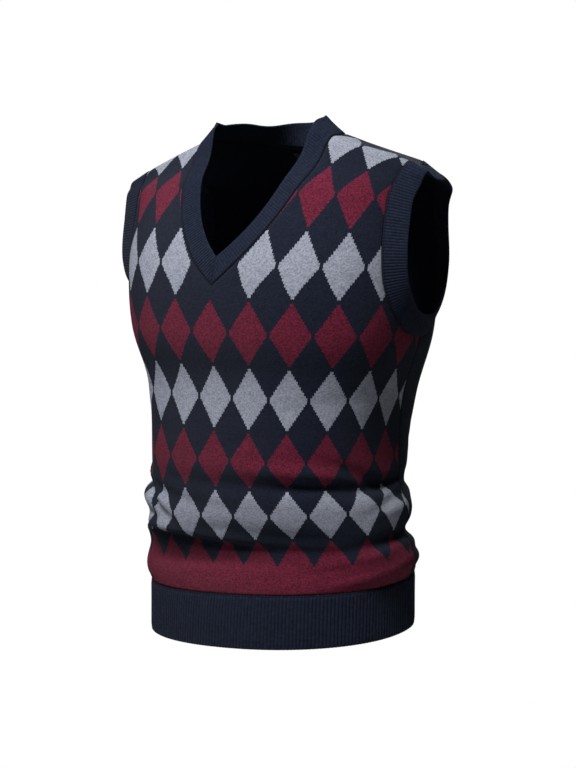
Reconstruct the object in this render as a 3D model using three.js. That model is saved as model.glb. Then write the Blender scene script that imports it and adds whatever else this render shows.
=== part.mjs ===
import * as THREE from "three";

// Knitted sweater vest, millimetres, +Z up, the front towards -Y and the wearer's left towards +X.
// The origin is at shoulder height between the two shoulders, and the cloth hangs below it.
// A point of the cloth has two pattern sizes: across, from the centre line towards the side seam,
// and up, from the seam where the hem rib joins the panels.

// Cloth and seams
const WALL = 2.2;
const GAP = 0.36;
const BAND_START = 0.42;
const RIB_RELIEF = 1.0;

// Pattern sizes of the panels
const SIDE = 248;
const HEM_TALL = 62;
const UNDERARM = 342;
const V_POINT = 398;
const SHOULDER = 612;
const BACK_SHOULDER = 696;
const BACK_NECK = 603;
const ARM_TOP = 160;
const NECK_TOP = 70;
const NECK_STRETCH = 20;
const NECK_STRETCH_RUN = { left: 100, right: 60 };
const NECK_ROUND = 60;

// Band widths: the neckband is stretched, and so narrower, along the V
const NECKBAND_WIDE = 30;
const NECKBAND_V_WIDE = 25;
const V_WIDE_SHARE = { from: 0.3, to: 0.9 };
const ARMBAND_WIDE = 28;

// Grid steps: the blousing above the hem, the plain body, and the part beside the armholes
const BLOUSE_TOP = 190;
const BODY_STEPS = 14;
const CHEST_STEPS = 7;
const BACK_STEPS = 16;
const RAIL_STEPS = 14;
const V_STEP = 3;
const FRONT_HALF = 16;
const BACK_HALF = 12;
const HEM_STEPS = 2;
const NECKBAND_STEPS = 2;
const OUTLINE_STEPS = 96;

// Half ribs between two neighbouring grid columns
const RIBS_FRONT_HEM = 7;
const RIBS_BACK_HEM = 9;
const RIBS_V = 8;
const RIBS_BACK_NECK = 8;
const RIBS_ARM = 9;

// Level outlines of the worn vest. up, behind: pattern height on the front and on the back panel.
// z: height at the centre. wide: half width. front, side, back: y at the centre front, at the widest
// point and at the centre back. rise: how far the wearer's left side lies higher.
// slope, sweep: how far the shoulder falls and runs back for each mm outwards.
// square: 2 is an ellipse, more is squarer. bulge: how far the wearer's right side lies further out.
const LEVELS = table(
  ["up", "behind", "z", "wide", "front", "side", "back", "rise", "slope", "sweep", "square", "bulge"],
  [
    [-62, -62, -598, 170, -139, -10, 118, 13, 0, 0, 2.15, 0],
    [0, 0, -537, 169, -132, -10, 112, 13, 0, 0, 2.3, 0],
    [38, 38, -503, 175, -119, -11, 93, 11, 0, 0, 2.4, 0],
    [115, 115, -443, 162, -143, -8, 91, 9, 0, 0, 2.4, 0],
    [191, 191, -378, 152, -150, -14, 132, 1, 0, 0, 2.4, 0],
    [267, 267, -307, 157, -146, -20, 160, -2, 0, 0, 2.4, 0],
    [344, 344, -232, 180, -156, -24, 168, -5, 0, 0, 2.4, 0],
    [420, 420, -156, 188, -146, -14, 155, -5, 0, 0, 2.4, 5],
    [497, 510, -71, 194, -104, 2, 124, -7, 0.05, 0, 2.4, 10],
    [535, 561, -33, 218, -72, 8, 95, -3, 0.17, 0, 2.4, 3],
    [573, 640, 5, 252, -50, 12, 24, 0, 0.34, 0, 2.4, -9],
    [592, 668, 15, 266, -34, 14, -2, 0, 0.43, 0, 2.4, -14],
    [612, 696, 18, 274, -37, -12, -37, 0, 0.45, 0.22, 2.4, -18],
  ],
);

function table(columns, rows) {
  return rows.map((row) => Object.fromEntries(columns.map((name, i) => [name, row[i]])));
}

// Largest folds. across, up: the middle, with across past SIDE counted on over the back panel.
// turn: degrees up from level. long, tall: half length and half height. deep: out, or in if negative.
const FOLDS = [
  { across: 0, up: 20, turn: 0, long: 900, tall: 17, deep: 5 },
  { across: -150, up: 150, turn: -8, long: 110, tall: 9, deep: -6 },
  { across: -175, up: 134, turn: -12, long: 80, tall: 12, deep: 9 },
  { across: -190, up: 110, turn: -4, long: 85, tall: 11, deep: -7 },
  { across: -120, up: 88, turn: 10, long: 90, tall: 13, deep: 5 },
  { across: 40, up: 156, turn: -3, long: 130, tall: 12, deep: -4 },
  { across: 165, up: 172, turn: -24, long: 50, tall: 9, deep: -5 },
  { across: 215, up: 150, turn: 6, long: 60, tall: 9, deep: -7 },
  { across: 225, up: 112, turn: -6, long: 75, tall: 17, deep: 6 },
  { across: 230, up: 70, turn: 8, long: 85, tall: 11, deep: -8 },
  { across: 150, up: 34, turn: 12, long: 95, tall: 8, deep: -4 },
  { across: 95, up: 78, turn: -5, long: 70, tall: 12, deep: -3 },
  { across: 0, up: 296, turn: 2, long: 150, tall: 24, deep: -3 },
  { across: 310, up: 68, turn: 0, long: 75, tall: 9, deep: -6 },
  { across: 315, up: 15, turn: 0, long: 80, tall: 8, deep: -4 },
  { across: 330, up: 150, turn: 12, long: 110, tall: 12, deep: -6 },
  { across: 380, up: 118, turn: -8, long: 130, tall: 15, deep: 6 },
  { across: -340, up: 142, turn: -10, long: 110, tall: 12, deep: -6 },
  { across: -390, up: 104, turn: 7, long: 120, tall: 15, deep: 6 },
  { across: 420, up: 74, turn: 6, long: 120, tall: 11, deep: -5 },
  { across: -300, up: 66, turn: -6, long: 100, tall: 11, deep: -6 },
  { across: 450, up: 190, turn: -14, long: 100, tall: 14, deep: -4 },
];

// Colours of the yarns and the woven label
const NAVY = { color: 0x232a38, roughness: 0.95, metalness: 0 };
const BURGUNDY = { color: 0x7a2340, roughness: 0.95, metalness: 0 };
const LABEL = { color: 0x17181f, roughness: 0.7, metalness: 0 };

const radians = THREE.MathUtils.degToRad;
const lerp = THREE.MathUtils.lerp;

// Curve through the LEVELS table, one column at a time; key is the panel's own height column
function levelValue(column, key, up) {
  const last = LEVELS.length - 1;
  let i = 0;
  while (i < last - 1 && up > LEVELS[i + 1][key]) i++;
  const span = LEVELS[i + 1][key] - LEVELS[i][key];
  const t = (up - LEVELS[i][key]) / span;
  const tangent = (j) => {
    const a = LEVELS[Math.max(j - 1, 0)];
    const b = LEVELS[Math.min(j + 1, last)];
    return ((b[column] - a[column]) / (b[key] - a[key])) * span;
  };
  const t2 = t * t;
  const t3 = t2 * t;
  return (2 * t3 - 3 * t2 + 1) * LEVELS[i][column] + (t3 - 2 * t2 + t) * tangent(i)
    + (3 * t2 - 2 * t3) * LEVELS[i + 1][column] + (t3 - t2) * tangent(i + 1);
}

// Half outline of one level, from the centre front round to the centre back, with running length
const SEAM_ANGLE = radians(98);
const outlines = new Map();
function levelOutline(panel, up) {
  const name = panel + up.toFixed(3);
  if (outlines.has(name)) return outlines.get(name);
  const key = panel === "front" ? "up" : "behind";
  const level = {};
  for (const column of ["z", "wide", "front", "side", "back", "rise", "slope", "sweep", "square", "bulge"]) {
    level[column] = levelValue(column, key, up);
  }
  const power = 2 / level.square;
  const points = [];
  for (let i = 0; i <= 2 * OUTLINE_STEPS; i++) {
    const angle = (Math.PI * i) / (2 * OUTLINE_STEPS);
    const depth = Math.abs(Math.cos(angle)) ** power;
    const end = i < OUTLINE_STEPS ? level.front : level.back;
    points.push([level.wide * Math.abs(Math.sin(angle)) ** power, lerp(level.side, end, depth)]);
  }
  const run = [0];
  for (let i = 1; i < points.length; i++) {
    run.push(run[i - 1] + Math.hypot(points[i][0] - points[i - 1][0], points[i][1] - points[i - 1][1]));
  }
  const place = (SEAM_ANGLE / Math.PI) * 2 * OUTLINE_STEPS;
  const whole = Math.floor(place);
  const seam = lerp(run[whole], run[whole + 1], place - whole);
  const outline = { level, points, run, seam, total: run[run.length - 1] };
  outlines.set(name, outline);
  return outline;
}

// The worn V opens the front, so its columns move outwards above the V point
function neckStretch(across, up) {
  if (up <= V_POINT) return 0;
  const run = NECK_STRETCH_RUN[across < 0 ? "right" : "left"];
  const whole = 1 - Math.exp((V_POINT - SHOULDER) / run);
  return (NECK_STRETCH * (1 - Math.exp((V_POINT - up) / run))) / whole;
}

// Place of a pattern point on the smooth worn shape, before its folds
function smoothPoint(panel, across, up) {
  const { level, points, run, seam, total } = levelOutline(panel, up);
  const share = Math.abs(across) / SIDE;
  const open = (neckStretch(across, up) / SIDE) * (1 - share);
  const length = panel === "front" ? (share + open) * seam : total - share * (total - seam);
  let i = 0;
  while (i < run.length - 2 && length > run[i + 1]) i++;
  const t = (length - run[i]) / (run[i + 1] - run[i]);
  const half = lerp(points[i][0], points[i + 1][0], t);
  const x = across < 0 ? -half - level.bulge * (half / level.wide) ** 2 : half;
  const y = lerp(points[i][1], points[i + 1][1], t);
  const out = Math.hypot(x, NECK_ROUND) - NECK_ROUND;
  const z = level.z + (level.rise * x) / level.wide - level.slope * out;
  return new THREE.Vector3(x, y + level.sweep * out, z);
}

// How far the folds move a pattern point outwards; the back panel's columns are counted on from the side
function foldDepth(panel, across, up) {
  const round = panel === "front" ? across : (Math.sign(across) || 1) * (2 * SIDE - Math.abs(across));
  let depth = 0;
  for (const fold of FOLDS) {
    const turn = radians(fold.turn);
    const whole = 4 * SIDE;
    const side = round - fold.across - whole * Math.round((round - fold.across) / whole);
    const rise = up - fold.up;
    const along = side * Math.cos(turn) + rise * Math.sin(turn);
    const over = rise * Math.cos(turn) - side * Math.sin(turn);
    depth += fold.deep * Math.exp(-((along / fold.long) ** 2) - (over / fold.tall) ** 2);
  }
  const hemHold = THREE.MathUtils.smoothstep(up, 0, 14);
  return depth * hemHold;
}

// Outward direction of the smooth shape
function outward(panel, across, up) {
  const step = 2;
  const low = Math.min(up, shoulderUp(panel) - step);
  const sign = Math.sign(across) || 1;
  const near = Math.min(Math.abs(across), SIDE - step);
  const a = smoothPoint(panel, sign * near, low);
  const b = smoothPoint(panel, sign * (near + step), low);
  const c = smoothPoint(panel, sign * near, low + step);
  const side = b.sub(a).multiplyScalar(sign);
  const rise = c.sub(a);
  const normal = side.cross(rise).normalize();
  return panel === "front" ? normal : normal.negate();
}

function shoulderUp(panel) {
  return panel === "front" ? SHOULDER : BACK_SHOULDER;
}

// On the shoulder and side seams both panels share one direction, so that their edges stay parallel
function clothNormal(panel, across, up) {
  const normal = outward(panel, across, up);
  const onSide = up <= UNDERARM && Math.abs(across) > SIDE - 1;
  const onShoulder = up > shoulderUp(panel) - 1;
  if (!onSide && !onShoulder) return normal;
  const other = panel === "front" ? "back" : "front";
  const column = onShoulder ? partnerColumn(panel, across) : across;
  const height = onShoulder ? shoulderUp(other) : up;
  return normal.add(outward(other, column, height)).normalize();
}

// The column of the other panel that meets this one on the shoulder seam
function partnerColumn(panel, across) {
  const { seam, total } = levelOutline("front", SHOULDER);
  const open = NECK_STRETCH / SIDE;
  const sign = Math.sign(across) || 1;
  const share = Math.abs(across) / SIDE;
  const ratio = seam / (total - seam);
  if (panel === "front") return sign * SIDE * (share + open * (1 - share)) * ratio;
  return (sign * SIDE * (share / ratio - open)) / (1 - open);
}

// Place and outward direction of a pattern point, folds included
function clothPoint(panel, across, up) {
  const normal = clothNormal(panel, across, up);
  const point = smoothPoint(panel, across, up).addScaledVector(normal, foldDepth(panel, across, up));
  return { point, normal };
}

// Pattern outlines of one half: each gives [across, up] for t from 0 at the underarm to 1 at the shoulder.
// narrow: half width of the panel between the armholes, at the height turn where their curve ends.
const BACK_NECK_TOP = partnerColumn("front", NECK_TOP);
const ARM_TURN_SHARE = 0.54;
const ARM_CURVE = 2.3;
const V_CURVE = { full: 0.72, power: 0.95 };
const BACK_NECK_CURVE = { round: 1.9, power: 0.72 };
const ARMHOLES = {
  front: { narrow: 163, turn: 470, top: ARM_TOP },
  back: { narrow: 176, turn: 470, top: partnerColumn("front", ARM_TOP) },
};

function armRail(panel, t) {
  const { narrow, turn, top } = ARMHOLES[panel];
  if (t > ARM_TURN_SHARE) {
    const s = (t - ARM_TURN_SHARE) / (1 - ARM_TURN_SHARE);
    return [lerp(narrow, top, s * s), lerp(turn, shoulderUp(panel), s)];
  }
  const angle = (t / ARM_TURN_SHARE) * (Math.PI / 2);
  const power = 2 / ARM_CURVE;
  const across = SIDE - (SIDE - narrow) * Math.sin(angle) ** power;
  return [across, turn - (turn - UNDERARM) * Math.cos(angle) ** power];
}

function centreRail(t) {
  const start = V_STEP / RAIL_STEPS;
  if (t <= start) return [0, lerp(UNDERARM, V_POINT, t / start)];
  const s = (t - start) / (1 - start);
  const angle = (Math.min(s / V_CURVE.full, 1) * Math.PI) / 2;
  return [NECK_TOP * Math.sin(angle) ** V_CURVE.power, lerp(V_POINT, SHOULDER, s)];
}

// Pattern points moved by a distance to the left of their edge as it runs
function inset(points, distance) {
  return points.map((point, i) => {
    const before = points[Math.max(i - 1, 0)];
    const after = points[Math.min(i + 1, points.length - 1)];
    const run = [after[0] - before[0], after[1] - before[1]];
    const size = Math.hypot(...run);
    return [point[0] - (run[1] / size) * distance, point[1] + (run[0] / size) * distance];
  });
}

function railPoints(rail) {
  return Array.from({ length: RAIL_STEPS + 1 }, (_, i) => rail(i / RAIL_STEPS));
}

// A panel grid is rows of pattern points. Above the V point a front row has its centre point twice.
function frontGrid() {
  const rows = [];
  const edge = SIDE - GAP / 2;
  const topUp = SHOULDER - GAP / 2;
  for (let i = 0; i <= BODY_STEPS; i++) {
    rows.push(levelRow(edge, lerp(GAP / 2, BLOUSE_TOP, i / BODY_STEPS), FRONT_HALF));
  }
  for (let i = 1; i <= CHEST_STEPS; i++) {
    rows.push(levelRow(edge, lerp(BLOUSE_TOP, UNDERARM - GAP / 2, i / CHEST_STEPS), FRONT_HALF));
  }
  const arm = inset(railPoints((t) => armRail("front", t)), GAP / 2);
  const neck = inset(railPoints(centreRail), -GAP / 2);
  for (let i = 1; i <= RAIL_STEPS; i++) {
    const across = i > V_STEP ? neck[i][0] : 0;
    const lift = i === V_STEP ? V_POINT - GAP / 2 : neck[i][1];
    const half = [];
    for (let j = 0; j <= FRONT_HALF; j++) {
      const s = j / FRONT_HALF;
      half.push([lerp(across, arm[i][0], s), i < RAIL_STEPS ? lerp(lift, arm[i][1], s) : topUp]);
    }
    const left = half.map(([a, u]) => [-a, u]).reverse();
    rows.push(i > V_STEP ? left.concat(half) : left.concat(half.slice(1)));
  }
  return rows;
}

function levelRow(edge, up, half) {
  const row = [];
  for (let j = -half; j <= half; j++) row.push([(edge * j) / half, up]);
  return row;
}

// The back neck seam, from the shoulder seam down to its lowest point at the centre
function backNeckUp(across) {
  const s = Math.min(Math.abs(across) / BACK_NECK_TOP, 1);
  const fall = (1 - s ** BACK_NECK_CURVE.round) ** BACK_NECK_CURVE.power;
  return BACK_SHOULDER - (BACK_SHOULDER - BACK_NECK) * fall;
}

// Columns of the back neck seam lie closer together near the shoulders
function backNeckAcross(j) {
  return BACK_NECK_TOP * Math.sin((Math.PI * j) / BACK_HALF);
}

function backGrid() {
  const rows = [];
  const edge = SIDE - GAP / 2;
  for (let i = 0; i <= BACK_STEPS; i++) {
    rows.push(levelRow(edge, lerp(GAP / 2, UNDERARM - GAP / 2, i / BACK_STEPS), BACK_HALF));
  }
  const arm = inset(railPoints((t) => armRail("back", t)), GAP / 2);
  const neckHalf = BACK_HALF / 2;
  const neckSeam = [];
  for (let j = -neckHalf; j <= neckHalf; j++) {
    const across = backNeckAcross(j);
    neckSeam.push([across, backNeckUp(across)]);
  }
  const neck = inset(neckSeam, -GAP / 2);
  for (let i = 1; i <= RAIL_STEPS; i++) {
    const t = i / RAIL_STEPS;
    const row = [];
    for (let j = -BACK_HALF; j <= BACK_HALF; j++) {
      const size = Math.abs(j);
      const beyond = Math.max(size - neckHalf, 0) / neckHalf;
      const [neckAcross, neckUp] = neck[neckHalf + Math.min(size, neckHalf)];
      const armTop = arm[RAIL_STEPS][0];
      const share = lerp(size / BACK_HALF, lerp(neckAcross, armTop, beyond) / armTop, t * t);
      const topUp = size < neckHalf ? neckUp : BACK_SHOULDER - GAP / 2;
      const edgeRise = (arm[i][1] - UNDERARM) / (BACK_SHOULDER - UNDERARM);
      const rise = i === RAIL_STEPS ? 1 : lerp(t, edgeRise, size / BACK_HALF);
      row.push([Math.sign(j) * share * arm[i][0], lerp(UNDERARM, topUp, rise)]);
    }
    rows.push(row);
  }
  return rows;
}

// Closed solid from vertex positions and triangles
function solid(name, positions, triangles, finish) {
  const geometry = new THREE.BufferGeometry();
  geometry.setAttribute("position", new THREE.Float32BufferAttribute(positions, 3));
  geometry.setIndex(triangles);
  geometry.computeVertexNormals();
  const mesh = new THREE.Mesh(geometry, new THREE.MeshStandardMaterial(finish));
  mesh.name = name;
  return mesh;
}

// Wall over a panel grid: the outer face, the inner face a wall thickness inside it, and the edge round both
function panelWall(name, panel, rows, splitRow, finish) {
  const positions = [];
  const index = [];
  let count = 0;
  for (const row of rows) {
    index.push(row.map(() => count++));
  }
  const inner = [];
  for (const row of rows) {
    for (const [across, up] of row) {
      const { point, normal } = clothPoint(panel, across, up);
      positions.push(...point.toArray());
      inner.push(...point.addScaledVector(normal, -WALL).toArray());
    }
  }
  const triangles = [];
  const flip = panel === "back";
  const face = (a, b, c) => {
    triangles.push(...(flip ? [a, c, b] : [a, b, c]));
    triangles.push(...(flip ? [a + count, b + count, c + count] : [a + count, c + count, b + count]));
  };
  const columns = rows[0].length;
  const middle = (columns - 1) / 2;
  for (let r = 0; r < rows.length - 1; r++) {
    for (let c = 0; c < columns - 1; c++) {
      const low = index[r][c + (r > splitRow && c >= middle ? 1 : 0)];
      const lowNext = index[r][c + 1 + (r > splitRow && c >= middle ? 1 : 0)];
      const high = index[r + 1][c + (r + 1 > splitRow && c >= middle ? 1 : 0)];
      const highNext = index[r + 1][c + 1 + (r + 1 > splitRow && c >= middle ? 1 : 0)];
      face(low, lowNext, highNext);
      face(low, highNext, high);
    }
  }
  const loop = edgeLoop(index, splitRow, middle);
  for (let i = 0; i < loop.length; i++) {
    const a = loop[i];
    const b = loop[(i + 1) % loop.length];
    const quad = [a, a + count, b + count, a, b + count, b];
    triangles.push(...(flip ? quad.slice().reverse() : quad));
  }
  return solid(name, positions.concat(inner), triangles, finish);
}

// Vertices round a panel grid's edge, anticlockwise as the pattern is seen
function edgeLoop(index, splitRow, middle) {
  const last = index.length - 1;
  const end = (row) => row.length - 1;
  const loop = [...index[0]];
  for (let r = 1; r <= last; r++) loop.push(index[r][end(index[r])]);
  const top = index[last];
  if (splitRow >= last) {
    for (let c = end(top) - 1; c >= 0; c--) loop.push(top[c]);
  } else {
    for (let c = end(top) - 1; c > middle; c--) loop.push(top[c]);
    for (let r = last - 1; r >= splitRow; r--) loop.push(index[r][middle + (r > splitRow ? 1 : 0)]);
    for (let r = splitRow + 1; r <= last; r++) loop.push(index[r][middle]);
    for (let c = middle - 1; c >= 0; c--) loop.push(top[c]);
  }
  for (let r = last - 1; r > 0; r--) loop.push(index[r][0]);
  return loop;
}

// Ribbed wall between two edges. stations: along the seam, each a list of { point, normal } from the
// seam to the free edge. ribs: half ribs between neighbouring stations. The inside stays plain.
function ribbedWall(name, stations, ribs, finish, mirrored) {
  const positions = [];
  const push = (point) => {
    positions.push(...point.toArray());
    return positions.length / 3 - 1;
  };
  const outer = [];
  let half = 0;
  for (let s = 0; s < stations.length; s++) {
    const steps = s < stations.length - 1 ? ribs[s] : 1;
    for (let k = 0; k < steps; k++) {
      const t = k / steps;
      const next = stations[Math.min(s + 1, stations.length - 1)];
      const raised = half++ % 2 ? RIB_RELIEF : 0;
      outer.push(stations[s].map(({ point, normal }, row) => {
        const place = point.clone().lerp(next[row].point, t);
        const direction = normal.clone().lerp(next[row].normal, t);
        return push(place.addScaledVector(direction, raised));
      }));
    }
  }
  const inner = stations.map((column) => column.map(({ point, normal }) => (
    push(point.clone().addScaledVector(normal, -WALL)))));
  const triangles = [];
  const face = (a, b, c) => triangles.push(...(mirrored ? [a, c, b] : [a, b, c]));
  const grid = (columns, turned) => {
    for (let c = 0; c < columns.length - 1; c++) {
      for (let r = 0; r < columns[c].length - 1; r++) {
        const quad = [columns[c][r], columns[c + 1][r], columns[c + 1][r + 1], columns[c][r + 1]];
        if (turned) quad.reverse();
        face(quad[0], quad[1], quad[2]);
        face(quad[0], quad[2], quad[3]);
      }
    }
  };
  grid(outer, false);
  grid(inner, true);
  const last = stations[0].length - 1;
  strip(outer.map((c) => c[0]), inner.map((c) => c[0]), ribs, face);
  strip(outer.map((c) => c[last]), inner.map((c) => c[last]), ribs, (a, b, c) => face(a, c, b));
  const closeEnd = (a, b, turned) => {
    for (let r = 0; r < last; r++) {
      const quad = [a[r], a[r + 1], b[r + 1], b[r]];
      if (turned) quad.reverse();
      face(quad[0], quad[1], quad[2]);
      face(quad[0], quad[2], quad[3]);
    }
  };
  closeEnd(outer[0], inner[0], false);
  closeEnd(outer[outer.length - 1], inner[inner.length - 1], true);
  return solid(name, positions, triangles, finish);
}

// Triangles between a ribbed edge and the plain edge inside it
function strip(outer, inner, ribs, face) {
  let at = 0;
  for (let s = 0; s < inner.length - 1; s++) {
    const middle = at + Math.ceil(ribs[s] / 2);
    for (let k = at; k < middle; k++) face(inner[s], outer[k + 1], outer[k]);
    face(inner[s], inner[s + 1], outer[middle]);
    for (let k = middle; k < at + ribs[s]; k++) face(inner[s + 1], outer[k + 1], outer[k]);
    at += ribs[s];
  }
}

// One station of the hem rib, from the panel seam down to the free edge
function hemStation(panel, across) {
  const rows = [];
  for (let i = 0; i <= HEM_STEPS; i++) {
    rows.push(clothPoint(panel, across, lerp(-GAP / 2, -HEM_TALL, i / HEM_STEPS)));
  }
  return rows;
}

function hemRib(name, panel, half, ribs) {
  const edge = SIDE - GAP / 2;
  const stations = [];
  for (let j = -half; j <= half; j++) stations.push(hemStation(panel, (edge * j) / half));
  return ribbedWall(name, stations, Array(2 * half).fill(ribs), NAVY, panel === "front");
}

// Station of a band that starts just past the middle of its seam and runs on towards the opening
function bandStation(panel, across, up, direction, wide, steps) {
  const { point, normal } = clothPoint(panel, across, up);
  const rows = [];
  for (let i = 0; i <= steps; i++) {
    const reach = lerp(BAND_START, wide, i / steps);
    const place = point.clone().addScaledVector(direction, reach);
    rows.push({ point: place, normal });
  }
  return rows;
}

// Direction in the cloth, square to an edge: rail gives the edge, and inwards is on its open side
function acrossEdge(panel, rail, t, sign) {
  const step = 0.01;
  const before = rail(Math.max(t - step, 0));
  const after = rail(Math.min(t + step, 1));
  const a = smoothPoint(panel, sign * before[0], before[1]);
  const b = smoothPoint(panel, sign * after[0], after[1]);
  const [across, up] = rail(t);
  const normal = clothNormal(panel, sign * across, up);
  return b.sub(a).cross(normal).normalize().multiplyScalar(sign);
}

// Armhole band: from the side seam up the back, over the shoulder and down the front again.
// It flares away from the body, less at the underarm and at the shoulder, where it droops.
const ARM_FLARE = { left: 1.0, right: 1.8, underarm: 0.3, from: 0.1, to: 0.6, fade: 0.45 };
const ARM_DROOP = { left: 0.4, right: 0.9 };
const BACK_DRAWN = { left: 0.6, right: 0.2 };
function armholeBand(side, sign) {
  const stations = [];
  const add = (panel, t) => {
    const rail = (s) => armRail(panel, s);
    const [across, up] = rail(t);
    const facing = panel === "front" ? 1 : -1;
    const direction = acrossEdge(panel, rail, t, sign).multiplyScalar(facing);
    const other = panel === "front" ? "back" : "front";
    if (t === 0 || t === 1) {
      const otherRail = (s) => armRail(other, s);
      direction.add(acrossEdge(other, otherRail, t, sign).multiplyScalar(-facing)).normalize();
    }
    const spread = THREE.MathUtils.smoothstep(t, ARM_FLARE.from, ARM_FLARE.to);
    const flare = lerp(ARM_FLARE.underarm, ARM_FLARE[side], spread);
    const drawn = panel === "back" ? BACK_DRAWN[side] * t ** 2 : 0;
    direction.x += sign * flare * (1 - ARM_FLARE.fade * t ** 3) * (1 - drawn);
    direction.y -= 0.5 * drawn;
    direction.z -= ARM_DROOP[side] * t ** 3 + drawn;
    stations.push(bandStation(panel, sign * across, up, direction.normalize(), ARMBAND_WIDE, 1));
  };
  for (let i = 0; i <= RAIL_STEPS; i++) add("front", i / RAIL_STEPS);
  for (let i = RAIL_STEPS - 1; i >= 0; i--) add("back", i / RAIL_STEPS);
  openJoin(stations);
  const ribs = Array(stations.length - 1).fill(RIBS_ARM);
  return ribbedWall("armhole_band_" + side, stations, ribs, NAVY, sign > 0);
}

// Where a band's two ends meet, each end stops half a gap short
function openJoin(stations) {
  const shift = (column, next) => column.forEach((place, row) => {
    const along = next[row].point.clone().sub(place.point).normalize();
    place.point.addScaledVector(along, GAP / 2);
  });
  const last = stations.length - 1;
  shift(stations[0], stations[1]);
  shift(stations[last], stations[last - 1]);
}

// Neckband: up the wearer's right of the V from its mitre, round the back neck and down again.
// It lies in the chest at the V point, sinks in beside the throat and stands up round the neck.
// lean: how far it leans inwards for each mm up, at the centre back and towards each shoulder.
const STAND = new THREE.Vector3(0, 0, 1);
const NECK_TURN = { stand: 0.8, forward: -0.35, sink: 0.3 };
const NECK_CENTRE = new THREE.Vector3(0, -45, 0);
const BACK_LEAN = { right: 1.0, centre: 0.05, left: 1.25 };
const V_MITRE_STEP = 0.012;
function neckband() {
  const stations = [];
  const ribs = [];
  const addFront = (i, sign) => {
    const t = i / RAIL_STEPS;
    const [across, up] = centreRail(t);
    const rise = (i - V_STEP) / (RAIL_STEPS - V_STEP);
    const from = Math.max(t, V_STEP / RAIL_STEPS + V_MITRE_STEP);
    const direction = acrossEdge("front", centreRail, from, sign).negate();
    direction.addScaledVector(STAND, NECK_TURN.stand * rise * rise);
    direction.y += NECK_TURN.forward * rise ** 4 + NECK_TURN.sink * Math.sin(Math.PI * rise);
    direction.normalize();
    const widening = THREE.MathUtils.smoothstep(rise, V_WIDE_SHARE.from, V_WIDE_SHARE.to);
    const width = lerp(NECKBAND_V_WIDE, NECKBAND_WIDE, widening);
    const wide = i === V_STEP ? mitreReach(direction) : width;
    if (i === V_STEP) {
      direction.x = 0;
      direction.normalize();
    }
    const { normal } = clothPoint("front", sign * across, up);
    const station = bandStation("front", sign * across, up, direction, wide, NECKBAND_STEPS);
    if (i === V_STEP) station.forEach((row) => { row.point.x += (sign * GAP) / 2; });
    station.forEach((row) => { row.normal = normal; });
    stations.push(station);
  };
  const addBack = (j) => {
    const across = backNeckAcross(j);
    const up = backNeckUp(across);
    const { point } = clothPoint("back", across, up);
    const inwards = NECK_CENTRE.clone().sub(point).setZ(0).normalize();
    const share = across / BACK_NECK_TOP;
    const near = THREE.MathUtils.smoothstep(Math.abs(share), 0, share < 0 ? 0.7 : 1);
    const lean = lerp(BACK_LEAN.centre, share < 0 ? BACK_LEAN.right : BACK_LEAN.left, near);
    const direction = STAND.clone().addScaledVector(inwards, lean).normalize();
    stations.push(bandStation("back", across, up, direction, NECKBAND_WIDE, NECKBAND_STEPS));
  };
  for (let i = V_STEP; i <= RAIL_STEPS; i++) {
    addFront(i, -1);
    ribs.push(i < RAIL_STEPS ? RIBS_V : RIBS_BACK_NECK);
  }
  for (let j = 1 - BACK_HALF / 2; j < BACK_HALF / 2; j++) {
    addBack(j);
    ribs.push(RIBS_BACK_NECK);
  }
  for (let i = RAIL_STEPS; i >= V_STEP; i--) {
    addFront(i, 1);
    if (i > V_STEP) ribs.push(RIBS_V);
  }
  return ribbedWall("neckband", stations, ribs, NAVY, true);
}

// Length of the mitre seam for a band of full width on both sides of it
function mitreReach(direction) {
  const upright = Math.hypot(direction.y, direction.z);
  return NECKBAND_V_WIDE / upright;
}

// Woven label inside the back neck, a plain flat strip just inside the back panel
const LABEL_DROP = 5;
const LABEL_WIDE = 58;
const LABEL_TALL = 14;
const LABEL_THICK = 1;
const LABEL_CLEAR = 0.7;
function neckLabel() {
  const steps = 6;
  const rows = [];
  for (const drop of [0, 1]) {
    for (let i = 0; i <= steps; i++) {
      const across = lerp(-LABEL_WIDE / 2, LABEL_WIDE / 2, i / steps);
      const up = BACK_NECK - LABEL_DROP - drop * LABEL_TALL;
      rows.push(clothPoint("back", across, up));
    }
  }
  const layer = (depth) => rows.flatMap(({ point, normal }) => (
    point.clone().addScaledVector(normal, -depth).toArray()));
  const positions = layer(WALL + LABEL_CLEAR).concat(layer(WALL + LABEL_CLEAR + LABEL_THICK));
  const row = steps + 1;
  const inner = 2 * row;
  const triangles = [];
  const quad = (a, b, c, d) => triangles.push(a, b, c, a, c, d);
  for (let i = 0; i < steps; i++) {
    quad(i, i + 1, row + i + 1, row + i);
    quad(inner + i, inner + row + i, inner + row + i + 1, inner + i + 1);
    quad(i, inner + i, inner + i + 1, i + 1);
    quad(row + i, row + i + 1, inner + row + i + 1, inner + row + i);
  }
  quad(0, row, inner + row, inner);
  quad(steps, inner + steps, inner + row + steps, row + steps);
  return solid("neck_label", positions, triangles, LABEL);
}

const vest = new THREE.Group();
vest.add(panelWall("front_panel", "front", frontGrid(), BODY_STEPS + CHEST_STEPS + V_STEP, BURGUNDY));
vest.add(panelWall("back_panel", "back", backGrid(), Infinity, NAVY));
vest.add(hemRib("hem_rib_front", "front", FRONT_HALF, RIBS_FRONT_HEM));
vest.add(hemRib("hem_rib_back", "back", BACK_HALF, RIBS_BACK_HEM));
vest.add(neckband());
vest.add(armholeBand("left", 1));
vest.add(armholeBand("right", -1));
vest.add(neckLabel());

export default vest;
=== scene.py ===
"""Knitted sweater vest, as worn: diamond front, plain back, ribbed hem, neckband and armhole bands.

Metres, +Z up, the front towards -Y and the wearer's left towards +X. A point of the cloth has two
pattern sizes: across, from the centre line towards the side seam, and up, from the hem rib's seam.
"""
import math

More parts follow.
